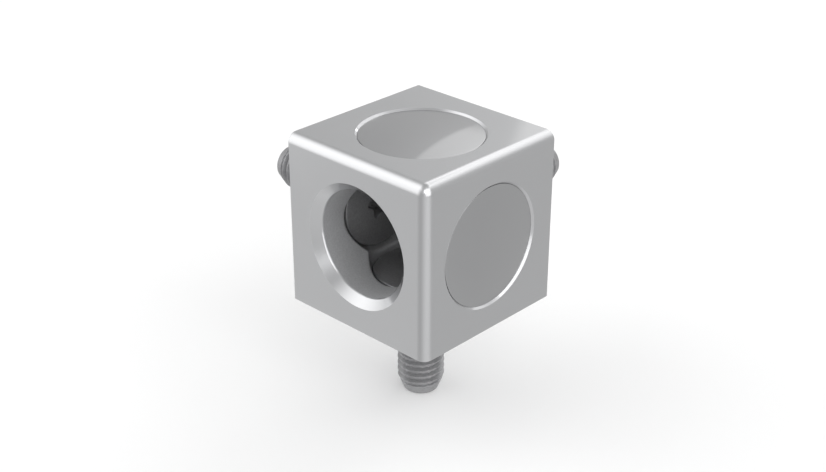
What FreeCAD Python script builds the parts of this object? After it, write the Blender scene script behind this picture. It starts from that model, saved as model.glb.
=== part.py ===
"""Three way corner connector, a cube with a side of 45 mm.

Frame, in millimetres: the origin is the centre of the lower mating face, and
+Z runs up from it. The other two mating faces look along -X and +Y, and a
screw stands out of each of the three. The three outer faces, +X, -Y and +Z,
each have the mouth of a wide bore that ends in the seat of the screw in the
opposite face.
"""

import FreeCAD, Part
import math
import os

import Sketcher

Vector = FreeCAD.Vector

# Driving dimensions: alias, value in millimetres or degrees, meaning

SIZES = [
    ("cube_side", 45.0, "side of the cube"),
    ("outer_edge_radius", 2.4, "rounding of the three edges between the outer faces"),
    ("mating_edge_radius", 0.2, "rounding of the edges of the mating faces"),
    ("mouth_slope", 2.3, "width and depth of the sloping mouth of each bore"),
    ("mouth_foot_radius", 0.8, "rounding between a mouth's slope and its bore"),
    ("bore_draft", 1.2, "taper of each bore towards its seat, degrees"),
    ("crossing_radius", 0.8, "rounding of the edges where two bores cross"),
    ("end_wall", 4.0, "wall between a screw's seat and the mating face"),
    ("hole_clearance", 0.5, "radial room of a shank in the wall"),
    ("head_radius", 12.0, "radius of a screw's head"),
    ("head_clearance", 0.79, "radial room of a head in the bore at its seat"),
    ("head_rim_height", 4.5, "height of the head at its rim"),
    ("head_crown", 0.4, "rise of the head from its rim to its middle"),
    ("head_edge_radius", 0.5, "rounding of the head's upper rim"),
    ("thread_radius", 6.0, "radius of a screw over its thread"),
    ("neck_step", 0.3, "depth of the plain neck under the thread's radius"),
    ("screw_length", 30.0, "from the underside of the head to the tip"),
    ("tip_length", 4.0, "length of the tapered tip"),
    ("tip_radius", 4.4, "radius at the end of the tip"),
    ("socket_width", 8.95, "six lobe recess over its lobes"),
    ("socket_waist", 6.4, "six lobe recess between its lobes"),
    ("lobe_radius", 0.75, "rounding at the end of a lobe"),
    ("socket_depth", 4.2, "depth of the recess at its rim"),
    ("cap_recess", 0.4, "depth of a cover disc's rim under the outer face"),
    ("cap_crown", 0.8, "rise of the disc from its rim to its middle"),
    ("cap_edge_radius", 0.1, "rounding of the disc's rim"),
    ("cap_clearance", 0.05, "radial room between a cover disc and the cube"),
    ("cap_plate", 1.6, "thickness of the disc at its rim"),
    ("cap_foot_gap", 1.9, "from the foot of a disc's skirt to the wall of the next bore"),
    ("skirt_wall", 1.5, "wall of the skirt"),
    ("cut_overrun", 1.0, "length by which a cut runs past the face it opens"),
]

LOBES = 6

# Lengths and volumes that differ by less than this count as equal
NEAR = 1e-6


def make_sheet(doc):
    """Put the driving dimensions into a spreadsheet, one named cell a row."""
    sheet = doc.addObject("Spreadsheet::Sheet", "Sizes")
    for row, (alias, value, meaning) in enumerate(SIZES, start=1):
        sheet.set(f"A{row}", meaning)
        sheet.set(f"B{row}", str(value))
        sheet.setAlias(f"B{row}", alias)
    doc.recompute()
    return sheet


def origin_plane(body, role):
    """Return one of a body's own three base planes."""
    return next(plane for plane in body.Origin.OriginFeatures if plane.Role == role)


def new_sketch(body, name, role):
    """Start a sketch on one of the body's base planes."""
    sketch = body.newObject("Sketcher::SketchObject", name)
    sketch.AttachmentSupport = [(origin_plane(body, role), "")]
    sketch.MapMode = "FlatFace"
    return sketch


def pin_coordinate(sketch, kind, line, expression):
    """Hold the start of a line at a distance from the origin, by an expression."""
    value = float(sketch.evalExpression(expression))
    if abs(value) < NEAR:
        axis = -2 if kind == "DistanceX" else -1
        sketch.addConstraint(Sketcher.Constraint("PointOnObject", line, 1, axis))
        return
    if value > 0:
        ends = (-1, 1, line, 1)
    else:
        ends = (line, 1, -1, 1)
        expression = f"-({expression})"
    index = sketch.addConstraint(Sketcher.Constraint(kind, *ends, abs(value)))
    sketch.setExpression(f"Constraints[{index}]", expression)


def draw_outline(sketch, corners, crown_from=None):
    """Draw a closed outline through corners given as pairs of expressions.

    The stretch after the corner crown_from is an arc centred on the sketch's
    vertical axis, and every other stretch is a straight line.
    """
    points = [Vector(*(float(sketch.evalExpression(text)) for text in corner), 0) for corner in corners]
    count = len(points)
    arc_after = corners.index(crown_from) if crown_from else None
    for index, start in enumerate(points):
        end = points[(index + 1) % count]
        if index == arc_after:
            rise = end.y - start.y
            radius = (start.x**2 + rise**2) / (2 * rise)
            centre = Vector(0, end.y - radius, 0)
            circle = Part.Circle(centre, Vector(0, 0, 1), radius)
            first_angle = math.asin((start.y - centre.y) / radius)
            sketch.addGeometry(Part.ArcOfCircle(circle, first_angle, math.pi / 2), False)
        else:
            sketch.addGeometry(Part.LineSegment(start, end), False)
    for index in range(count):
        sketch.addConstraint(Sketcher.Constraint("Coincident", index, 2, (index + 1) % count, 1))
    for index, (across, up) in enumerate(corners):
        pin_coordinate(sketch, "DistanceX", index, across)
        pin_coordinate(sketch, "DistanceY", index, up)
    if arc_after is not None:
        sketch.addConstraint(Sketcher.Constraint("PointOnObject", arc_after, 3, -2))


def cut_or_stop(doc, body, feature, volume_before):
    """Recompute and make sure that a cutting feature took material away."""
    body.Tip = feature
    doc.recompute()
    if feature.Shape.Volume >= volume_before - NEAR:
        raise RuntimeError(f"{feature.Name} cuts nothing")


def round_edges(doc, body, name, edges, radius):
    """Round some edges of a body's last feature."""
    base = body.Tip
    volume_before = base.Shape.Volume
    rounding = body.newObject("PartDesign::Fillet", name)
    rounding.Base = (base, edges)
    rounding.setExpression("Radius", radius)
    doc.recompute()
    if abs(rounding.Shape.Volume - volume_before) < NEAR:
        raise RuntimeError(f"{name} rounds nothing")
    body.Tip = rounding


def curve_of(edge):
    """Return the curve that an edge lies on, or None where it has no length."""
    return None if edge.Length < NEAR else edge.Curve


def edges_where(shape, test):
    """Name the edges of a shape that pass a test."""
    found = [f"Edge{number}" for number, edge in enumerate(shape.Edges, start=1) if test(edge)]
    if not found:
        raise RuntimeError("no such edge")
    return found


def turn_section(doc, body, corners, crown_from, rim_radius):
    """Turn half a section round the vertical axis and round the rim of its crown."""
    section = new_sketch(body, f"{body.Name}_section", "XZ_Plane")
    draw_outline(section, corners, crown_from)
    turned = body.newObject("PartDesign::Revolution", f"{body.Name}_turned")
    turned.Profile = section
    turned.ReferenceAxis = (section, ["V_Axis"])
    turned.Angle = 360
    body.Tip = turned
    doc.recompute()
    across, height = (float(section.evalExpression(text)) for text in crown_from)
    rim = edges_where(
        turned.Shape,
        lambda edge: isinstance(curve_of(edge), Part.Circle)
        and abs(edge.Curve.Radius - across) < NEAR
        and abs(edge.Curve.Center.z - height) < NEAR,
    )
    round_edges(doc, body, f"{body.Name}_rim", rim, rim_radius)


# Corner cube

# Distance from the cube's centre to each of its faces
HALF = "Sizes.cube_side / 2"

# A bore's radius at the seat, at the foot of its mouth and at the outer face
SEAT_RADIUS = "(Sizes.head_radius + Sizes.head_clearance)"
BORE_RADIUS = (
    f"({SEAT_RADIUS} + tan(Sizes.bore_draft * 1 deg)"
    " * (Sizes.cube_side - Sizes.end_wall - Sizes.mouth_slope))"
)
MOUTH_RADIUS = f"({BORE_RADIUS} + Sizes.mouth_slope)"

# Half the section of a bore with its mouth, as distance along the axis
# towards the mouth and distance from the axis
BORE_SECTION = [
    (f"-({HALF} + Sizes.cut_overrun)", "0"),
    (f"-({HALF} + Sizes.cut_overrun)", "Sizes.thread_radius + Sizes.hole_clearance"),
    (f"-({HALF} - Sizes.end_wall)", "Sizes.thread_radius + Sizes.hole_clearance"),
    (f"-({HALF} - Sizes.end_wall)", SEAT_RADIUS),
    (f"{HALF} - Sizes.mouth_slope", BORE_RADIUS),
    (f"{HALF} + Sizes.cut_overrun", f"{MOUTH_RADIUS} + Sizes.cut_overrun"),
    (f"{HALF} + Sizes.cut_overrun", "0"),
]


def add_bore(doc, body, name, role, axis, corners):
    """Cut one bore by turning its half section about an axis of the sketch."""
    before = body.Tip.Shape.Volume
    sketch = new_sketch(body, f"{name}_section", role)
    draw_outline(sketch, corners)
    groove = body.newObject("PartDesign::Groove", name)
    groove.Profile = sketch
    groove.ReferenceAxis = (sketch, [axis])
    groove.Angle = 360
    cut_or_stop(doc, body, groove, before)


def make_cube(doc):
    """Cast cube: a block with rounded edges and three crossing bores.

    The bores are tapered, so the edges where two of them cross are the only
    splines among the edges.
    """
    body = doc.addObject("PartDesign::Body", "corner_cube")
    body.Label = "corner_cube"
    square = new_sketch(body, "cube_square", "XY_Plane")
    draw_outline(
        square,
        [
            (f"-{HALF}", f"-{HALF}"),
            (HALF, f"-{HALF}"),
            (HALF, HALF),
            (f"-{HALF}", HALF),
        ],
    )
    block = body.newObject("PartDesign::Pad", "block")
    block.Profile = square
    block.Midplane = True
    block.setExpression("Length", "Sizes.cube_side")
    body.Tip = block
    doc.recompute()

    half = block.Shape.BoundBox.XMax
    middles = [Vector(half, -half, 0), Vector(0, -half, half), Vector(half, 0, half)]
    outer_edges = edges_where(
        block.Shape,
        lambda edge: any(edge.CenterOfMass.distanceToPoint(middle) < NEAR for middle in middles),
    )
    round_edges(doc, body, "outer_edges", outer_edges, "Sizes.outer_edge_radius")
    mating_edges = edges_where(
        body.Tip.Shape,
        lambda edge: abs(edge.BoundBox.XMax + half) < NEAR
        or abs(edge.BoundBox.YMin - half) < NEAR
        or abs(edge.BoundBox.ZMax + half) < NEAR,
    )
    round_edges(doc, body, "mating_edges", mating_edges, "Sizes.mating_edge_radius")

    towards_the_front = [(f"-({along})", out) for along, out in BORE_SECTION]
    upwards = [(out, along) for along, out in BORE_SECTION]
    add_bore(doc, body, "right_bore", "XZ_Plane", "H_Axis", BORE_SECTION)
    add_bore(doc, body, "front_bore", "YZ_Plane", "H_Axis", towards_the_front)
    add_bore(doc, body, "top_bore", "XZ_Plane", "V_Axis", upwards)

    foot_radius = float(square.evalExpression(BORE_RADIUS))
    mouth_feet = edges_where(
        body.Tip.Shape,
        lambda edge: isinstance(curve_of(edge), Part.Circle) and abs(edge.Curve.Radius - foot_radius) < NEAR,
    )
    round_edges(doc, body, "mouth_feet", mouth_feet, "Sizes.mouth_foot_radius")
    crossings = edges_where(body.Tip.Shape, lambda edge: isinstance(curve_of(edge), Part.BSplineCurve))
    round_edges(doc, body, "crossings", crossings, "Sizes.crossing_radius")
    body.setExpression("Placement.Base.z", HALF)
    return body


# Screws

# Half the section of a screw, as distance from its axis and height over the
# underside of its head; the stretch after the rim is the crowned top
SCREW_RIM = ("Sizes.head_radius", "Sizes.head_rim_height")
SCREW_SECTION = [
    ("0", "-Sizes.screw_length"),
    ("Sizes.tip_radius", "-Sizes.screw_length"),
    ("Sizes.thread_radius", "-(Sizes.screw_length - Sizes.tip_length)"),
    ("Sizes.thread_radius", "-Sizes.end_wall"),
    ("Sizes.thread_radius - Sizes.neck_step", "-Sizes.end_wall"),
    ("Sizes.thread_radius - Sizes.neck_step", "0"),
    ("Sizes.head_radius", "0"),
    SCREW_RIM,
    ("0", "Sizes.head_rim_height + Sizes.head_crown"),
]


def lobed_outline(width, waist, lobe_radius):
    """Six lobe recess as alternating arcs, each tangent to the next.

    A lobe's end is an arc of lobe_radius whose outermost point lies on the
    circle of diameter width. Between two lobes an arc bulges inwards to the
    circle of diameter waist, and its radius is what makes it tangent to both.
    """
    half_step = math.pi / LOBES
    lobe_centre = width / 2 - lobe_radius
    reach = lobe_centre * math.cos(half_step)
    waist_radius = (lobe_radius**2 - lobe_centre**2 - (waist / 2) ** 2 + waist * reach) / (
        2 * (waist / 2 - reach - lobe_radius)
    )
    waist_centre = waist / 2 + waist_radius
    share = lobe_radius / (lobe_radius + waist_radius)

    def polar(radius, angle):
        return Vector(radius * math.cos(angle), radius * math.sin(angle), 0)

    arcs = []
    for lobe in range(LOBES):
        middle = 2 * half_step * lobe
        inner = polar(lobe_centre, middle)
        before = inner + (polar(waist_centre, middle - half_step) - inner) * share
        after = inner + (polar(waist_centre, middle + half_step) - inner) * share
        following = polar(lobe_centre, middle + 2 * half_step)
        restart = following + (polar(waist_centre, middle + half_step) - following) * share
        arcs.append(Part.Arc(before, polar(width / 2, middle), after))
        arcs.append(Part.Arc(after, polar(waist / 2, middle + half_step), restart))
    return arcs


def make_screw(doc, sheet, name):
    """Screw with a wide crowned head, a six lobe recess and a tapered tip."""
    body = doc.addObject("PartDesign::Body", name)
    body.Label = name
    turn_section(doc, body, SCREW_SECTION, SCREW_RIM, "Sizes.head_edge_radius")
    turned_volume = body.Tip.Shape.Volume

    outline = new_sketch(body, f"{name}_lobes", "XY_Plane")
    outline.setExpression("AttachmentOffset.Base.z", "Sizes.head_rim_height + Sizes.head_crown")
    for arc in lobed_outline(
        sheet.get("socket_width"), sheet.get("socket_waist"), sheet.get("lobe_radius")
    ):
        outline.addGeometry(arc, False)
    socket = body.newObject("PartDesign::Pocket", f"{name}_socket")
    socket.Profile = outline
    socket.setExpression("Length", "Sizes.socket_depth + Sizes.head_crown")
    cut_or_stop(doc, body, socket, turned_volume)
    return body


# Cover discs

# The radial room between the cube and a disc is the same all the way down, so
# the skirt has the bore's taper, and its foot stops short of the next bore
CAP_DEPTH = f"({HALF} - {BORE_RADIUS} - Sizes.cap_foot_gap)"
CAP_FOOT_RADIUS = (
    f"({BORE_RADIUS} - Sizes.cap_clearance"
    f" - tan(Sizes.bore_draft * 1 deg) * ({CAP_DEPTH} - Sizes.mouth_slope))"
)

# Half the section of a disc, as distance from its axis and height over the
# outer face; the stretch after the rim is the crowned top, whose middle
# stands a little proud of that face
CAP_RIM = (f"{MOUTH_RADIUS} - Sizes.cap_recess - Sizes.cap_clearance", "-Sizes.cap_recess")
CAP_SECTION = [
    ("0", "-(Sizes.cap_recess + Sizes.cap_plate)"),
    (f"{CAP_FOOT_RADIUS} - Sizes.skirt_wall", "-(Sizes.cap_recess + Sizes.cap_plate)"),
    (f"{CAP_FOOT_RADIUS} - Sizes.skirt_wall", f"-{CAP_DEPTH}"),
    (CAP_FOOT_RADIUS, f"-{CAP_DEPTH}"),
    (f"{BORE_RADIUS} - Sizes.cap_clearance", "-Sizes.mouth_slope"),
    CAP_RIM,
    ("0", "Sizes.cap_crown - Sizes.cap_recess"),
]


def make_cap(doc, name):
    """Cover disc with a crowned face, a sloping rim and a round skirt."""
    body = doc.addObject("PartDesign::Body", name)
    body.Label = name
    turn_section(doc, body, CAP_SECTION, CAP_RIM, "Sizes.cap_edge_radius")
    return body


# Places

# A piece's own +Z points out of the outer face that it is reached from
UPWARDS = FreeCAD.Rotation(Vector(0, 0, 1), 0)
TO_THE_RIGHT_FACE = FreeCAD.Rotation(Vector(0, 1, 0), 90)
TO_THE_FRONT_FACE = FreeCAD.Rotation(Vector(1, 0, 0), 90)


def place(body, rotation, **distances):
    """Turn a piece and bind its place to the sheet."""
    body.Placement = FreeCAD.Placement(Vector(0, 0, 0), rotation)
    for axis, expression in distances.items():
        body.setExpression(f"Placement.Base.{axis}", expression)


def make_pieces(doc, sheet):
    """Make every piece and put it in its place."""
    seat = f"{HALF} - Sizes.end_wall"
    pieces = [make_cube(doc)]

    bottom_screw = make_screw(doc, sheet, "bottom_screw")
    place(bottom_screw, UPWARDS, z="Sizes.end_wall")
    left_screw = make_screw(doc, sheet, "left_screw")
    place(left_screw, TO_THE_RIGHT_FACE, x=f"-({seat})", z=HALF)
    right_screw = make_screw(doc, sheet, "right_screw")
    place(right_screw, TO_THE_FRONT_FACE, y=seat, z=HALF)

    top_cap = make_cap(doc, "top_cap")
    place(top_cap, UPWARDS, z="Sizes.cube_side")
    right_cap = make_cap(doc, "right_cap")
    place(right_cap, TO_THE_RIGHT_FACE, x=HALF, z=HALF)

    pieces += [bottom_screw, left_screw, right_screw, top_cap, right_cap]
    doc.recompute()
    return pieces


def check_document(doc, pieces):
    """Stop if an object of the document failed or a piece isn't one valid solid."""
    for item in doc.Objects:
        if "Invalid" in item.State or "Error" in item.State:
            raise RuntimeError(f"{item.Name} failed: {item.State}")
    for piece in pieces:
        if piece.Shape.isNull() or not piece.Shape.isValid() or len(piece.Shape.Solids) != 1:
            raise RuntimeError(f"{piece.Label} isn't one valid solid")


def export(pieces):
    """Write one STEP file for each piece."""
    os.makedirs("parts", exist_ok=True)
    for piece in pieces:
        piece.Shape.exportStep(f"parts/{piece.Label}.step")


def main():
    doc = FreeCAD.newDocument("three_way_corner_connector")
    sheet = make_sheet(doc)
    pieces = make_pieces(doc, sheet)
    check_document(doc, pieces)
    export(pieces)
    for piece in pieces:
        box = piece.Shape.optimalBoundingBox()
        print(
            f"{piece.Label}: {piece.Shape.Volume / 1000:.2f} cm3,"
            f" x {box.XMin:.2f} to {box.XMax:.2f},"
            f" y {box.YMin:.2f} to {box.YMax:.2f},"
            f" z {box.ZMin:.2f} to {box.ZMax:.2f}"
        )


main()
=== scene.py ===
"""Looks of a three way corner connector.

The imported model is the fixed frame. The cast cube, its two cover discs and its
three screws get their visible surfaces and finishes here, in metres and in the
model's own place, and a plain stage with a camera is set round them.
"""

import math

import bpy
import numpy as np
from bpy.props import FloatProperty, FloatVectorProperty, IntProperty, PointerProperty
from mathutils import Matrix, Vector


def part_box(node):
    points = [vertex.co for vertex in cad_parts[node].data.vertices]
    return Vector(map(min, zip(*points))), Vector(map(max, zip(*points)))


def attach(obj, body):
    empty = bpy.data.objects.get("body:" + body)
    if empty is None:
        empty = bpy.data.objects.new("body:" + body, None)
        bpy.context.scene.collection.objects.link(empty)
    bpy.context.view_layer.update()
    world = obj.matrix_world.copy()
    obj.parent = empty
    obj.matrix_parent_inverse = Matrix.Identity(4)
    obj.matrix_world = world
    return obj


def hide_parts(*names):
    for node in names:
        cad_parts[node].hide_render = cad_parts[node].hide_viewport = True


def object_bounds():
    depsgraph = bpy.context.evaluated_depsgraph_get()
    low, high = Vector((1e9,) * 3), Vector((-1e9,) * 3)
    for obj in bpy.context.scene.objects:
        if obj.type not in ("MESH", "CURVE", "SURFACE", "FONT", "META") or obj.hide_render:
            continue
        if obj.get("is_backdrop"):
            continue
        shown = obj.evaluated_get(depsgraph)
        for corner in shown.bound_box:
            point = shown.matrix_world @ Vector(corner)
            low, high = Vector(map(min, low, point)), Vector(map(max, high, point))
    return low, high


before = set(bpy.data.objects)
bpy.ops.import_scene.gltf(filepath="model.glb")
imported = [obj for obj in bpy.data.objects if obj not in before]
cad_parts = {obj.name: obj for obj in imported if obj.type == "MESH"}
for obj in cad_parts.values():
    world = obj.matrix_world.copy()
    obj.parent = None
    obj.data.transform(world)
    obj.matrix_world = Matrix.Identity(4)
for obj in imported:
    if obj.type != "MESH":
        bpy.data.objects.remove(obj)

bl_info = {
    "name": "Three way corner connector",
    "version": (1, 0, 0),
    "blender": (4, 5, 0),
    "location": "3D View > Sidebar > Corner connector",
    "description": "Cast cube with cover discs and thread-forming screws",
    "category": "Object",
}

MM = 0.001
BODY = "root"

# Bevel at a screw's end and under its head, and depth of the cone that closes its recess
BEVEL = 0.2 * MM
CONE_DEPTH = 0.5 * MM

# Steps of the surfaces: over a rounded edge, over a head's crown, down the wall
# of a recess, over a disc's face and round a disc
ROUNDING_POINTS = 7
CROWN_POINTS = 12
WALL_POINTS = 6
FACE_POINTS = 48
DISC_SEGMENTS = 256

# Edges that turn by more than this stay sharp
SHARP_ANGLE = math.radians(32)

# The darkest and lightest shade of each finish, as shares of its colour. The slopes' pair is painted
# shade, darker than the faces'
FACE_SHADES = (0.985, 1.015)
# Painted shade: the mouths' slopes are painted darker than the faces
SLOPE_PAINTED_SHADE = (0.895, 0.925)
BORE_SHADES = (0.8, 1.2)
STEEL_SHADES = (0.7, 1.3)

# Spread of the roughness over a finish, and how much smoother the mouths' slopes are
LACQUERED_SPREAD = 0.04
STEEL_SPREAD = 0.1
SLOPE_POLISH = 0.04

# Depths under a face over which the slope's painted shade and smoother finish start
# and the bore's finish takes over from them, and the width over which the slope's ends at the mouth's
# radius
SLOPE_STARTS = (0.02 * MM, 0.08 * MM)
BORE_STARTS = (2.1 * MM, 2.8 * MM)
SLOPE_BLEND = 0.1 * MM

# Metallic of the screws' plating and of the bores, which are left as cast
DULL_METAL = 0.5


# Settings

class CONNECTOR_PG_cap(bpy.types.PropertyGroup):
    """Sizes of the two cover discs."""

    recess: FloatProperty(
        name="Recess", description="Depth of the rim under the cube's face",
        default=0.44 * MM, unit="LENGTH", precision=5)
    crown: FloatProperty(
        name="Crown", description="Rise of the disc from its rim to its middle",
        default=0.84 * MM, unit="LENGTH", precision=5)
    edge: FloatProperty(
        name="Edge rounding", description="Rounding of the disc's rim",
        default=0.05 * MM, unit="LENGTH", precision=5)
    slope_depth: FloatProperty(
        name="Slope depth", description="Depth of the cube's sloping mouth",
        default=2.3 * MM, unit="LENGTH", precision=5)
    skirt_wall: FloatProperty(
        name="Skirt wall", description="Wall of the skirt inside the bore",
        default=1.5 * MM, unit="LENGTH", precision=5)
    plate: FloatProperty(
        name="Plate", description="Thickness of the disc at its rim",
        default=1.6 * MM, unit="LENGTH", precision=5)
    taper: FloatProperty(
        name="Taper", description="Taper of the skirt, the same as the bore's",
        default=math.radians(1.2), subtype="ANGLE")


class CONNECTOR_PG_screw(bpy.types.PropertyGroup):
    """Sizes of the three screws."""

    length: FloatProperty(
        name="Length", description="From the underside of the head to the tip",
        default=30 * MM, unit="LENGTH", precision=5)
    thread_radius: FloatProperty(
        name="Thread radius", description="Radius over the thread",
        default=6 * MM, unit="LENGTH", precision=5)
    pitch: FloatProperty(
        name="Pitch", description="Rise of the thread in one turn",
        default=1.75 * MM, unit="LENGTH", precision=5)
    thread_depth: FloatProperty(
        name="Thread depth", description="Depth of the groove between two turns",
        default=0.95 * MM, unit="LENGTH", precision=5)
    thread_crest: FloatProperty(
        name="Thread land", description="Width of the land between two turns",
        default=0.22 * MM, unit="LENGTH", precision=5)
    thread_flank: FloatProperty(
        name="Thread flank", description="Slope of the groove's sides",
        default=math.radians(30), subtype="ANGLE")
    neck: FloatProperty(
        name="Neck", description="Length of the plain neck in the cube's wall",
        default=4 * MM, unit="LENGTH", precision=5)
    neck_step: FloatProperty(
        name="Neck step", description="Depth of the neck under the thread's radius",
        default=0.3 * MM, unit="LENGTH", precision=5)
    tip_length: FloatProperty(
        name="Tip length", description="Length of the tapered tip",
        default=4 * MM, unit="LENGTH", precision=5)
    tip_radius: FloatProperty(
        name="Tip radius", description="Radius at the end of the tip",
        default=4.4 * MM, unit="LENGTH", precision=5)
    rim_height: FloatProperty(
        name="Head rim", description="Height of the head at its rim",
        default=4.5 * MM, unit="LENGTH", precision=5)
    crown: FloatProperty(
        name="Head crown", description="Rise of the head from its rim to its middle",
        default=0.4 * MM, unit="LENGTH", precision=5)
    edge: FloatProperty(
        name="Head edge", description="Rounding of the head's upper rim",
        default=0.25 * MM, unit="LENGTH", precision=5)
    socket_width: FloatProperty(
        name="Recess width", description="Six lobe recess over its lobes",
        default=8.95 * MM, unit="LENGTH", precision=5)
    socket_waist: FloatProperty(
        name="Recess waist", description="Six lobe recess between its lobes",
        default=6.4 * MM, unit="LENGTH", precision=5)
    lobe_radius: FloatProperty(
        name="Lobe radius", description="Rounding at the end of a lobe",
        default=0.75 * MM, unit="LENGTH", precision=5)
    socket_depth: FloatProperty(
        name="Recess depth", description="Depth of the recess at its rim",
        default=4.2 * MM, unit="LENGTH", precision=5)
    socket_break: FloatProperty(
        name="Recess rounding", description="Rounding of the mouth of the recess",
        default=0.4 * MM, unit="LENGTH", precision=5)
    socket_turn: FloatProperty(
        name="Recess turn", description="Turn of the recess about the screw's axis",
        default=math.radians(30), subtype="ANGLE")
    segments: IntProperty(
        name="Segments", description="Points in one turn of a screw's surface",
        default=144, min=24)
    turn_rings: IntProperty(
        name="Rings", description="Rings of points in one turn of the thread",
        default=20, min=6)


class CONNECTOR_PG_finish(bpy.types.PropertyGroup):
    """Colours and roughness of the finishes, and the clear lacquer over two of them."""

    cast: FloatVectorProperty(
        name="Cast aluminium", description="Colour of the tumbled casting",
        default=(0.550, 0.555, 0.567), subtype="COLOR", size=3, min=0, max=1)
    cast_roughness: FloatProperty(
        name="Cast roughness", description="Roughness of the outer faces",
        default=0.38, min=0, max=1)
    bore_roughness: FloatProperty(
        name="Bore roughness", description="Roughness of the bores, left as cast",
        default=0.6, min=0, max=1)
    cap: FloatVectorProperty(
        name="Cover disc", description="Colour of the cover discs",
        default=(0.393, 0.396, 0.405), subtype="COLOR", size=3, min=0, max=1)
    cap_roughness: FloatProperty(
        name="Disc roughness", description="Roughness under the discs' lacquer",
        default=0.38, min=0, max=1)
    steel: FloatVectorProperty(
        name="Screw steel", description="Colour of the plated screws",
        default=(0.315, 0.315, 0.323), subtype="COLOR", size=3, min=0, max=1)
    steel_roughness: FloatProperty(
        name="Steel roughness", description="Roughness of the plated screws",
        default=0.31, min=0, max=1)
    bore: FloatVectorProperty(
        name="Bore", description="Colour of the bores, left as cast",
        default=(0.52, 0.524, 0.534), subtype="COLOR", size=3, min=0, max=1)
    mouth_radius: FloatProperty(
        name="Mouth radius", description="Radius of a bore's mouth in the cube's face",
        default=15.9 * MM, unit="LENGTH", precision=5)
    lacquer_index: FloatProperty(
        name="Lacquer index", description="Refractive index of the clear lacquer",
        default=2.38, min=1, max=4)
    lacquer_roughness: FloatProperty(
        name="Lacquer roughness", description="Roughness of the clear lacquer",
        default=0.05, min=0, max=1)


class CONNECTOR_PG_stage(bpy.types.PropertyGroup):
    """Camera, floor and light."""

    camera_place: FloatVectorProperty(
        name="Camera", description="Place of the camera",
        default=(212.62 * MM, -224.15 * MM, 173.97 * MM), subtype="TRANSLATION", size=3)
    camera_target: FloatVectorProperty(
        name="Target", description="Point at the middle of the picture",
        default=(0.0, -2.96 * MM, 18.45 * MM), subtype="TRANSLATION", size=3)
    lens: FloatProperty(
        name="Lens", description="Focal length for a sensor 36 mm wide", default=61.21)
    floor_drop: FloatProperty(
        name="Floor", description="Depth of the floor under the lowest point",
        default=0.02 * MM, unit="LENGTH", precision=5)
    floor_size: FloatProperty(
        name="Floor size", description="Side of the floor", default=6.0, unit="LENGTH")


# Shader maths

class Sock:
    """A node's output as a value in an expression; each operation adds a node."""

    def __init__(self, tree, socket):
        self.tree = tree
        self.socket = socket

    def _two(self, operation, first, second):
        return self.tree.node("ShaderNodeMath", {"operation": operation}, {0: first, 1: second})

    def __add__(self, other):
        return self._two("ADD", self, other)

    def __radd__(self, other):
        return self._two("ADD", other, self)

    def __sub__(self, other):
        return self._two("SUBTRACT", self, other)

    def __rsub__(self, other):
        return self._two("SUBTRACT", other, self)

    def __mul__(self, other):
        return self._two("MULTIPLY", self, other)

    def __rmul__(self, other):
        return self._two("MULTIPLY", other, self)

    def __truediv__(self, other):
        return self._two("DIVIDE", self, other)

    def __rtruediv__(self, other):
        return self._two("DIVIDE", other, self)

    def __abs__(self):
        return self.tree.node("ShaderNodeMath", {"operation": "ABSOLUTE"}, {0: self})

    def largest(self, other):
        """The larger of two values."""
        return self._two("MAXIMUM", self, other)

    def ramp(self, low, high, at_low=0.0, at_high=1.0):
        """Rise smoothly from at_low to at_high between two values of this one."""
        return self.tree.node(
            "ShaderNodeMapRange",
            {"interpolation_type": "SMOOTHSTEP"},
            {"Value": self, "From Min": low, "From Max": high, "To Min": at_low, "To Max": at_high})


class Tree:
    """A node tree under construction."""

    def __init__(self, owner):
        owner.use_nodes = True
        self.nodes = owner.node_tree.nodes
        self.links = owner.node_tree.links
        self.nodes.clear()

    def node(self, kind, settings=None, values=None, out=0):
        """Add a node, set it up, fill or link its sockets, and return one output."""
        made = self.nodes.new(kind)
        for name, value in (settings or {}).items():
            setattr(made, name, value)
        for name, value in (values or {}).items():
            if isinstance(value, Sock):
                self.links.new(value.socket, made.inputs[name])
            else:
                made.inputs[name].default_value = value
        return Sock(self, made.outputs[out]) if len(made.outputs) else None

    def noise(self, place, scale, detail):
        """Noise in space, from 0 to 1."""
        return self.node(
            "ShaderNodeTexNoise", values={"Vector": place, "Scale": scale, "Detail": detail})

    def mix_colour(self, share, first, second):
        """Go from one colour to another as share goes from 0 to 1."""
        return self.node(
            "ShaderNodeMix",
            {"data_type": "RGBA"},
            {"Factor": share, "A": first, "B": second},
            out="Result")

    def shaded(self, share, colour, shades):
        """Go from a colour's darkest shade to its lightest as share goes from 0 to 1."""
        darkest, lightest = ([shade * part for part in colour] + [1.0] for shade in shades)
        return self.mix_colour(share, darkest, lightest)

    def metal(self, values):
        """Finish the tree with a Principled shader that has these socket values."""
        shader = self.node("ShaderNodeBsdfPrincipled", values=values)
        self.node("ShaderNodeOutputMaterial", values={"Surface": shader})


def new_material(name):
    """A material, its node tree and the place on the object, in metres."""
    material = bpy.data.materials.new(name)
    tree = Tree(material)
    return material, tree, tree.node("ShaderNodeTexCoord", out="Object")


def uneven(value, patches, spread):
    """A value that wanders by spread as the patches go from 0 to 1."""
    return value + spread * (patches - 0.5)


def cube_zones(tree, place):
    """Depth under the nearest face, and squared distance from the nearest bore axis.

    Both come from a point's distances from the cube's three middle planes. The
    depth is half a side less the largest of them. The distance from a bore's
    axis, squared, is the sum of the squares of the other two.
    """
    low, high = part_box("corner_cube")
    middle, half = (low + high) / 2, (high.x - low.x) / 2
    split = tree.node("ShaderNodeSeparateXYZ", values={"Vector": place}).socket.node
    x, y, z = [
        abs(Sock(tree, split.outputs[axis]) - middle[k]) for k, axis in enumerate("XYZ")]
    farthest = x.largest(y).largest(z)
    return half - farthest, x * x + y * y + z * z - farthest * farthest


def lacquer(settings):
    """Socket values of a clear lacquer over a metal."""
    return {"Coat Roughness": settings.lacquer_roughness, "Coat IOR": settings.lacquer_index}


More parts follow.
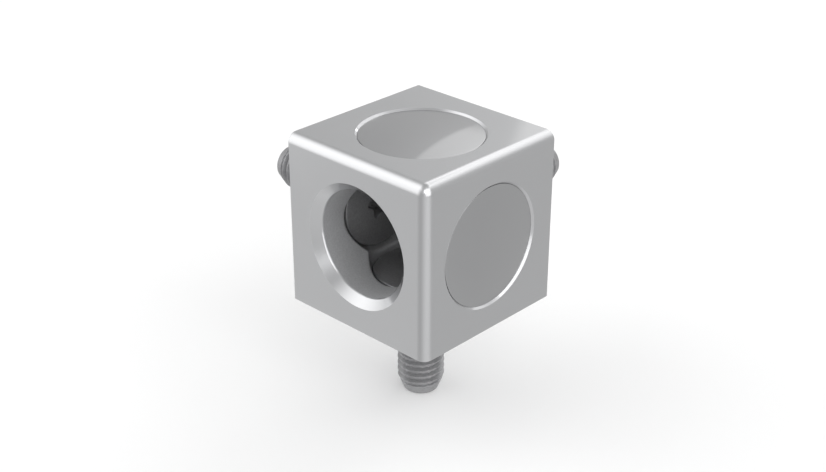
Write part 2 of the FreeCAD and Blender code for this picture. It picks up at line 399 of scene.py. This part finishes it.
def cast_material(settings):
    """Tumbled casting under a clear lacquer, rougher and bare inside the bores.

    The slope of a mouth is what lies under a face and nearer to a bore's axis
    than the mouth's radius. It is smoother than the faces, and painted a little
    darker than them as painted shade.
    """
    material, tree, place = new_material("cast_aluminium")
    patches = tree.noise(place, scale=90.0, detail=4.0)
    grain = tree.noise(place, scale=2600.0, detail=3.0)
    depth, axis_square = cube_zones(tree, place)
    inside = depth.ramp(*BORE_STARTS)
    mouth = depth.ramp(*SLOPE_STARTS) * axis_square.ramp(
        (settings.mouth_radius - SLOPE_BLEND) ** 2, settings.mouth_radius**2, 1.0, 0.0)
    face = tree.shaded(patches, settings.cast, FACE_SHADES)
    # Painted shade: the mouths' slopes get a darker copy of the cast colour
    slope = tree.shaded(patches, settings.cast, SLOPE_PAINTED_SHADE)
    bore = tree.shaded(grain, settings.bore, BORE_SHADES)
    outer_roughness = uneven(settings.cast_roughness, patches, LACQUERED_SPREAD)
    outer_roughness = outer_roughness - SLOPE_POLISH * mouth
    tree.metal({
        "Base Color": tree.mix_colour(inside, tree.mix_colour(mouth, face, slope), bore),
        "Metallic": 1.0 - (1.0 - DULL_METAL) * inside,
        "Roughness": outer_roughness + inside * (settings.bore_roughness - outer_roughness),
        "Coat Weight": 1.0 - inside,
        "Normal": tree.node(
            "ShaderNodeBump", values={"Strength": 0.03, "Distance": 0.05 * MM, "Height": grain}),
        **lacquer(settings),
    })
    return material


def cap_material(settings):
    """Moulded disc with a metallic colour under the same clear lacquer."""
    material, tree, place = new_material("cap_plastic")
    patches = tree.noise(place, scale=140.0, detail=3.0)
    tree.metal({
        "Base Color": tree.shaded(patches, settings.cap, FACE_SHADES),
        "Metallic": 1.0,
        "Roughness": uneven(settings.cap_roughness, patches, LACQUERED_SPREAD),
        "Coat Weight": 1.0,
        **lacquer(settings),
    })
    return material


def steel_material(settings):
    """Plated steel: dark, satin and finely mottled."""
    material, tree, place = new_material("screw_steel")
    patches = tree.noise(place, scale=200.0, detail=4.0)
    grain = tree.noise(place, scale=2200.0, detail=3.0)
    tree.metal({
        "Base Color": tree.shaded(grain, settings.steel, STEEL_SHADES),
        "Metallic": DULL_METAL,
        "Roughness": uneven(settings.steel_roughness, patches, STEEL_SPREAD),
    })
    return material


# Surfaces

def closed_surface(name, radius, height, low_end, high_end, place):
    """Mesh of rings about an axis, with a point at each end.

    radius and height are arrays of rings by angles. A point of ring k at angle
    a stands radius[k, a] from the axis and height[k, a] along it, and place
    turns these local points into the model's frame. low_end and high_end are
    the heights of the two end points on the axis.
    """
    rings, segments = radius.shape
    angle = np.linspace(0, 2 * math.pi, segments, endpoint=False)[None, :]
    body = np.stack([radius * np.cos(angle), radius * np.sin(angle), height], axis=2)
    points = np.concatenate([body.reshape(-1, 3), [[0, 0, low_end], [0, 0, high_end]]])
    index = np.arange(rings * segments).reshape(rings, segments)
    beside = np.roll(index, -1, axis=1)
    quads = np.stack([index[:-1], beside[:-1], beside[1:], index[1:]], axis=2).reshape(-1, 4)
    low = rings * segments
    first = np.stack([beside[0], index[0], np.full(segments, low)], axis=1)
    last = np.stack([index[-1], beside[-1], np.full(segments, low + 1)], axis=1)
    mesh = bpy.data.meshes.new(name)
    mesh.from_pydata(place(points), [], quads.tolist() + first.tolist() + last.tolist())
    mesh.polygons.foreach_set("use_smooth", np.ones(len(mesh.polygons), bool))
    mesh.set_sharp_from_angle(angle=SHARP_ANGLE)
    mesh.validate()
    made = bpy.data.objects.new(name, mesh)
    bpy.context.scene.collection.objects.link(made)
    return made


def placed(seat, out):
    """Function that puts local points into the frame: +Z along out, the origin at seat."""
    rotation = np.array(Vector((0, 0, 1)).rotation_difference(out).to_matrix())
    return lambda points: points @ rotation.T + np.array(seat)


def lobed_radius(angle, width, waist, lobe_radius):
    """Distance from the axis to a six lobe outline at each angle.

    The outline is made of arcs, each tangent to the next: six lobe ends that
    reach the circle of diameter width, and six arcs between them that bulge
    inwards to the circle of diameter waist.
    """
    half_step = math.pi / 6
    lobe_centre = width / 2 - lobe_radius
    reach = lobe_centre * math.cos(half_step)
    waist_radius = (lobe_radius**2 - lobe_centre**2 - (waist / 2) ** 2 + waist * reach) / (
        2 * (waist / 2 - reach - lobe_radius))
    waist_centre = waist / 2 + waist_radius
    share = lobe_radius / (lobe_radius + waist_radius)
    touch_x = lobe_centre + share * (waist_centre * math.cos(half_step) - lobe_centre)
    touch_y = share * waist_centre * math.sin(half_step)
    touch_angle = math.atan2(touch_y, touch_x)
    turn = np.abs((angle + half_step) % (2 * half_step) - half_step)
    lobe = lobe_centre * np.cos(turn) + np.sqrt(
        np.maximum(lobe_radius**2 - (lobe_centre * np.sin(turn)) ** 2, 0))
    beside = half_step - turn
    hollow = waist_centre * np.cos(beside) - np.sqrt(
        np.maximum(waist_radius**2 - (waist_centre * np.sin(beside)) ** 2, 0))
    return np.where(turn < touch_angle, lobe, hollow)


def whole_rings(parts, segments):
    """Parts of an outline as two whole arrays of rings by angles.

    Each part is a radius and a height. Either may be one number, one for each
    ring, as a column, or one for each ring and angle.
    """
    around = np.ones((1, segments))
    whole = [np.broadcast_arrays(radius, height, around)[:2] for radius, height in parts]
    return [np.concatenate(arrays) for arrays in zip(*whole)]


def thread_rings(settings, angle):
    """Radius and height of a screw's rings from its tapered tip to its neck.

    The shank's radius grows evenly along the tip. The middle of the groove
    climbs one pitch a turn. The groove's radius is the thread's less its depth,
    and beyond the groove's foot it grows by the distance from the foot over
    the tangent of the flank's slope. It also grows by four depths a pitch from
    one and a quarter pitches below the neck on, so that the groove runs out.
    A ring has the smaller of the two radii at each angle.
    """
    slope = math.tan(settings.thread_flank)
    foot = (settings.pitch - settings.thread_crest) / 2 - settings.thread_depth * slope
    count = int(round((settings.length - settings.neck) / settings.pitch * settings.turn_rings))
    height = np.linspace(-settings.length + BEVEL, -settings.neck, count)[:, None]
    over_tip = np.minimum((height + settings.length) / settings.tip_length, 1.0)
    shank = settings.tip_radius + over_tip * (settings.thread_radius - settings.tip_radius)
    climb = (height + settings.length) / settings.pitch - angle / (2 * math.pi)
    beside_middle = np.abs((climb + 0.5) % 1.0 - 0.5) * settings.pitch
    rise = np.maximum(beside_middle - foot, 0) / slope
    run_out = np.maximum(1 + 4 * (height + settings.neck + settings.pitch) / settings.pitch, 0)
    groove = settings.thread_radius + (rise - settings.thread_depth) + run_out * settings.thread_depth
    return np.minimum(shank, groove), height


def head_rings(settings, head_radius):
    """Radius and height of a screw's rings from its neck to the rim of its crown.

    A plain neck, a flat underside with a small bevel, a plain side and a
    quarter round edge.
    """
    neck_radius = settings.thread_radius - settings.neck_step
    side_top = settings.rim_height - settings.edge
    turn = np.linspace(0, math.pi / 2, ROUNDING_POINTS)
    radius = np.append(
        [neck_radius, neck_radius, head_radius - BEVEL, head_radius],
        head_radius - settings.edge * (1 - np.cos(turn)))
    height = np.append([-settings.neck, 0, 0, BEVEL], side_top + settings.edge * np.sin(turn))
    return radius[:, None], height[:, None]


def recess_rings(settings, angle, crown_radius, floor):
    """Radius and height of a screw's rings from its crown's rim to its recess' floor.

    Crown: the rings change evenly from a circle to the six lobe outline, and
    the height falls with the square of the distance from the axis. Recess: a
    quarter round edge, a straight wall and a shallow cone.
    """
    lobes = lobed_radius(
        angle + settings.socket_turn, settings.socket_width, settings.socket_waist, settings.lobe_radius)
    rounding = settings.socket_break
    share = np.linspace(0, 1, CROWN_POINTS)[1:, None]
    crown = crown_radius + share * (lobes + rounding - crown_radius)
    crown_height = settings.rim_height + settings.crown * (1 - (crown / crown_radius) ** 2)
    mouth = crown_height[-1]
    turn = np.linspace(0, math.pi / 2, ROUNDING_POINTS)[1:, None]
    down = np.linspace(0, 1, WALL_POINTS)[1:, None]
    inward = np.array([0.96, 0.6, 0.3])[:, None]
    return [
        (crown, crown_height),
        (lobes + rounding * (1 - np.sin(turn)), mouth - rounding * (1 - np.cos(turn))),
        (lobes, mouth - rounding + down * (floor - mouth + rounding)),
        (lobes * inward, floor - (1 - inward) * CONE_DEPTH),
    ]


def screw_surface(name, settings, head_radius, seat, out):
    """One screw as rings about its axis, from its tip to the floor of its recess.

    Heights are measured from the underside of the head towards its crown.
    """
    angle = np.linspace(0, 2 * math.pi, settings.segments, endpoint=False)
    floor = settings.rim_height - settings.socket_depth
    radius, height = whole_rings([
        (settings.tip_radius - BEVEL, -settings.length),
        thread_rings(settings, angle),
        head_rings(settings, head_radius),
        *recess_rings(settings, angle, head_radius - settings.edge, floor),
    ], settings.segments)
    return closed_surface(name, radius, height, -settings.length, floor - CONE_DEPTH, placed(seat, out))


def cap_surface(name, settings, rim_radius, depth, seat, out):
    """One cover disc as rings from the middle of its back to its face.

    Back: flat out to the skirt, down the skirt's wall and round its foot. Side:
    up along the bore, and then outwards at 45 degrees. Edge: an arc that
    touches side and face, with rim_radius as its widest. Face: its height falls
    with the square of the distance from the middle, and would meet the side at
    the rim's corner. Heights are measured from the cube's face.
    """
    slope = math.pi / 4
    tilt = 2 * settings.crown / rim_radius
    edge_centre = rim_radius - settings.edge
    inset = settings.edge * (1 + math.cos(tilt) / math.cos(slope)) / (math.cos(tilt) + math.sin(tilt))
    corner_radius = edge_centre + inset
    edge_height = -settings.recess - inset + settings.edge / math.cos(slope)
    foot_radius = corner_radius - (settings.slope_depth - settings.recess)
    skirt_foot = foot_radius - math.tan(settings.taper) * (depth - settings.slope_depth)
    inner = skirt_foot - settings.skirt_wall
    back = -(settings.recess + settings.plate)
    turn = np.linspace(-slope, math.pi / 2 - tilt, ROUNDING_POINTS)
    edge = edge_centre + settings.edge * np.cos(turn)
    face = edge[-1] * np.linspace(1, 0, FACE_POINTS)[1:-1]
    radius = np.concatenate([
        inner * np.array([0.35, 0.7, 1.0, 1.0, 1.0]), [skirt_foot, foot_radius], edge, face])
    height = np.concatenate([
        [back, back, back, back - 0.3 * (depth + back), -depth, -depth, -settings.slope_depth],
        edge_height + settings.edge * np.sin(turn),
        -settings.recess + settings.crown * (1 - (face / corner_radius) ** 2)])
    rings = whole_rings([(radius[:, None], height[:, None])], DISC_SEGMENTS)
    return closed_surface(name, *rings, back, -settings.recess + settings.crown, placed(seat, out))


# Operators

class CONNECTOR_OT_cube(bpy.types.Operator):
    """Give the cast cube its finish."""

    bl_idname = "connector.cube"
    bl_label = "Finish the cube"

    def execute(self, context):
        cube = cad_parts["corner_cube"]
        cube.data.materials.clear()
        cube.data.materials.append(cast_material(context.scene.connector_finish))
        return {"FINISHED"}


class CONNECTOR_OT_caps(bpy.types.Operator):
    """Make the two cover discs."""

    bl_idname = "connector.caps"
    bl_label = "Make the cover discs"

    def execute(self, context):
        settings = context.scene.connector_cap
        material = cap_material(context.scene.connector_finish)
        low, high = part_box("corner_cube")
        middle = (low + high) / 2
        faces = {
            "top_cap": (Vector((middle.x, middle.y, high.z)), Vector((0, 0, 1))),
            "right_cap": (Vector((high.x, middle.y, middle.z)), Vector((1, 0, 0))),
        }
        for node, (seat, out) in faces.items():
            cap_low, cap_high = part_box(node)
            size = cap_high - cap_low
            depth = (seat - cap_low).dot(out)
            made = cap_surface(f"{node}_disc", settings, max(size) / 2, depth, seat, out)
            made.data.materials.append(material)
            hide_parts(node)
            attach(made, BODY)
        return {"FINISHED"}


class CONNECTOR_OT_screws(bpy.types.Operator):
    """Make the three thread-forming screws."""

    bl_idname = "connector.screws"
    bl_label = "Make the screws"

    def execute(self, context):
        settings = context.scene.connector_screw
        material = steel_material(context.scene.connector_finish)
        outwards = {
            "bottom_screw": Vector((0, 0, 1)),
            "left_screw": Vector((1, 0, 0)),
            "right_screw": Vector((0, -1, 0)),
        }
        for node, out in outwards.items():
            low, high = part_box(node)
            middle = (low + high) / 2
            tip = min((low - middle).dot(out), (high - middle).dot(out))
            seat = middle + out * (tip + settings.length)
            across = [high[k] - low[k] for k in range(3) if abs(out[k]) < 0.5]
            made = screw_surface(f"{node}_threaded", settings, max(across) / 2, seat, out)
            made.data.materials.append(material)
            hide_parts(node)
            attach(made, BODY)
        return {"FINISHED"}


# Stage

# Width of the camera's sensor in millimetres, and the distances in metres that it sees
SENSOR_WIDTH = 36.0
CAMERA_RANGE = (0.01, 50.0)

# Colours of the floor and of what the camera sees beyond it
PAPER = (0.98, 0.98, 0.98, 1.0)
WHITE = (1.0, 1.0, 1.0, 1.0)

# Level of the light that comes from everywhere, above and below the horizon, and
# the sine of the elevation up to which the two mix
DOME_LEVEL = 0.52
GROUND_LEVEL = 0.54
HORIZON_BLEND = 0.2

# A panel shows only in its own half of the sky, in full from this cosine of the
# angle to its middle on
FRONT_BLEND = 0.05

# Panels of light: azimuth, elevation and roll, half width, half height, softness
# across and along in degrees, and strength over the level around them
LIGHT_PANELS = {
    "left_front": ((217.2, 23.3, 0.0), 22.3, 36.7, 60.0, 24.8, 1.34),
    "back_right": ((84.2, 31.2, 0.0), 24.1, 17.0, 27.5, 4.0, 0.81),
    "front": ((313.0, 26.8, 0.0), 7.6, 9.1, 3.6, 3.0, 3.87),
    "right_front": ((349.5, 21.8, 0.0), 31.4, 36.6, 4.0, 4.0, 1.34),
    "right": ((72.3, 49.6, 0.0), 39.9, 6.2, 4.9, 11.7, 0.80),
    "ground_right": ((68.1, -27.1, 0.0), 22.4, 37.7, 30.9, 27.3, 0.06),
    "under_camera": ((337.7, -49.9, 0.0), 32.9, 32.6, 40.0, 40.0, 0.29),
    "back": ((106.7, 12.6, 0.0), 4.5, 5.2, 4.0, 3.0, 3.63),
    "ground_left": ((211.1, -60.9, 0.0), 18.6, 32.4, 28.2, 14.4, 0.24),
    "back_edge": ((125.51, 37.67, -14.78), 7.34, 18.1, 0.8, 9.0, 0.58),
}


def panel_axes(azimuth, elevation, roll):
    """Unit vectors towards a panel's middle, across it and along it."""
    turn, tilt, lean = (math.radians(angle) for angle in (azimuth, elevation, roll))
    flat = math.cos(tilt)
    ahead = Vector((flat * math.cos(turn), flat * math.sin(turn), math.sin(tilt)))
    level_side = Vector((-math.sin(turn), math.cos(turn), 0))
    side = math.cos(lean) * level_side + math.sin(lean) * ahead.cross(level_side)
    return ahead, side, ahead.cross(side)


def studio_light(tree):
    """Level of the light from each direction, for everything but the camera.

    The level goes smoothly from the ground's to the dome's across the horizon.
    A panel adds its strength times the product of two smooth steps, of the
    tangents of the direction's angles from its middle, across it and along it.
    """
    direction = tree.node("ShaderNodeTexCoord", out="Generated")

    def along(axis):
        return tree.node(
            "ShaderNodeVectorMath", {"operation": "DOT_PRODUCT"}, {0: direction, 1: axis}, out="Value")

    level = along(Vector((0, 0, 1))).ramp(-HORIZON_BLEND, HORIZON_BLEND, GROUND_LEVEL, DOME_LEVEL)
    for angles, half_width, half_height, soft_across, soft_along, strength in LIGHT_PANELS.values():
        ahead, side, up = panel_axes(*angles)
        facing = along(ahead)
        share = facing.ramp(0.0, FRONT_BLEND)
        for axis, half, soft in ((side, half_width, soft_across), (up, half_height, soft_along)):
            slope = abs(along(axis) / facing)
            edge_in, edge_out = (math.tan(math.radians(half + edge * soft / 2)) for edge in (-1, 1))
            share = share * slope.ramp(edge_in, edge_out, 1.0, 0.0)
        level = level + strength * share
    return level


def add_camera(context, settings):
    """Camera at its place, aimed at its target."""
    camera = bpy.data.objects.new("camera", bpy.data.cameras.new("camera"))
    camera.data.lens = settings.lens
    camera.data.sensor_width = SENSOR_WIDTH
    camera.data.clip_start, camera.data.clip_end = CAMERA_RANGE
    camera.location = settings.camera_place
    aim = Vector(settings.camera_target) - Vector(settings.camera_place)
    camera.rotation_euler = aim.to_track_quat("-Z", "Y").to_euler()
    context.scene.collection.objects.link(camera)
    context.scene.camera = camera


def add_floor(context, settings):
    """Square floor just under the object, which glossy reflections look through."""
    half = settings.floor_size / 2
    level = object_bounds()[0][2] - settings.floor_drop
    mesh = bpy.data.meshes.new("floor")
    corners = [(x, y, level) for x, y in ((-half, -half), (half, -half), (half, half), (-half, half))]
    mesh.from_pydata(corners, [], [(0, 1, 2, 3)])
    floor = bpy.data.objects.new("floor", mesh)
    context.scene.collection.objects.link(floor)
    material = bpy.data.materials.new("floor_paper")
    tree = Tree(material)
    paper = tree.node("ShaderNodeBsdfDiffuse", values={"Color": PAPER})
    clear = tree.node("ShaderNodeBsdfTransparent")
    glossy = tree.node("ShaderNodeLightPath", out="Is Glossy Ray")
    mixed = tree.node("ShaderNodeMixShader", values={0: glossy, 1: paper, 2: clear})
    tree.node("ShaderNodeOutputMaterial", values={"Surface": mixed})
    mesh.materials.append(material)
    floor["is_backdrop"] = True


def add_world(context):
    """Plain white for the camera, and the studio's light for everything else."""
    world = bpy.data.worlds.new("studio")
    context.scene.world = world
    tree = Tree(world)
    light = studio_light(tree)
    camera_ray = tree.node("ShaderNodeLightPath", out="Is Camera Ray")
    strength = light * (1.0 - camera_ray) + camera_ray
    background = tree.node("ShaderNodeBackground", values={"Color": WHITE, "Strength": strength})
    tree.node("ShaderNodeOutputWorld", values={"Surface": background})


class CONNECTOR_OT_stage(bpy.types.Operator):
    """Set the camera, the floor and the light."""

    bl_idname = "connector.stage"
    bl_label = "Set the stage"

    def execute(self, context):
        settings = context.scene.connector_stage
        add_camera(context, settings)
        add_floor(context, settings)
        add_world(context)
        context.scene.view_settings.view_transform = "Standard"
        return {"FINISHED"}


# Panel and registration

class CONNECTOR_PT_panel(bpy.types.Panel):
    """Lists the steps and their settings."""

    bl_idname = "CONNECTOR_PT_panel"
    bl_label = "Corner connector"
    bl_space_type = "VIEW_3D"
    bl_region_type = "UI"
    bl_category = "Corner connector"

    def draw(self, context):
        for operator in OPERATORS:
            self.layout.operator(operator.bl_idname)
        for name in GROUPS:
            group = getattr(context.scene, name)
            for key in group.__annotations__:
                self.layout.prop(group, key)


GROUPS = {
    "connector_cap": CONNECTOR_PG_cap,
    "connector_screw": CONNECTOR_PG_screw,
    "connector_finish": CONNECTOR_PG_finish,
    "connector_stage": CONNECTOR_PG_stage,
}
OPERATORS = (CONNECTOR_OT_stage, CONNECTOR_OT_cube, CONNECTOR_OT_caps, CONNECTOR_OT_screws)


def register():
    for group in GROUPS.values():
        bpy.utils.register_class(group)
    for operator in OPERATORS:
        bpy.utils.register_class(operator)
    bpy.utils.register_class(CONNECTOR_PT_panel)
    for name, group in GROUPS.items():
        setattr(bpy.types.Scene, name, PointerProperty(type=group))


def unregister():
    for name in GROUPS:
        delattr(bpy.types.Scene, name)
    bpy.utils.unregister_class(CONNECTOR_PT_panel)
    for operator in OPERATORS:
        bpy.utils.unregister_class(operator)
    for group in GROUPS.values():
        bpy.utils.unregister_class(group)


def main():
    register()
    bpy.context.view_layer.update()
    bpy.ops.connector.stage()
    bpy.ops.connector.cube()
    bpy.ops.connector.caps()
    bpy.ops.connector.screws()


if __name__ == "__main__":
    main()
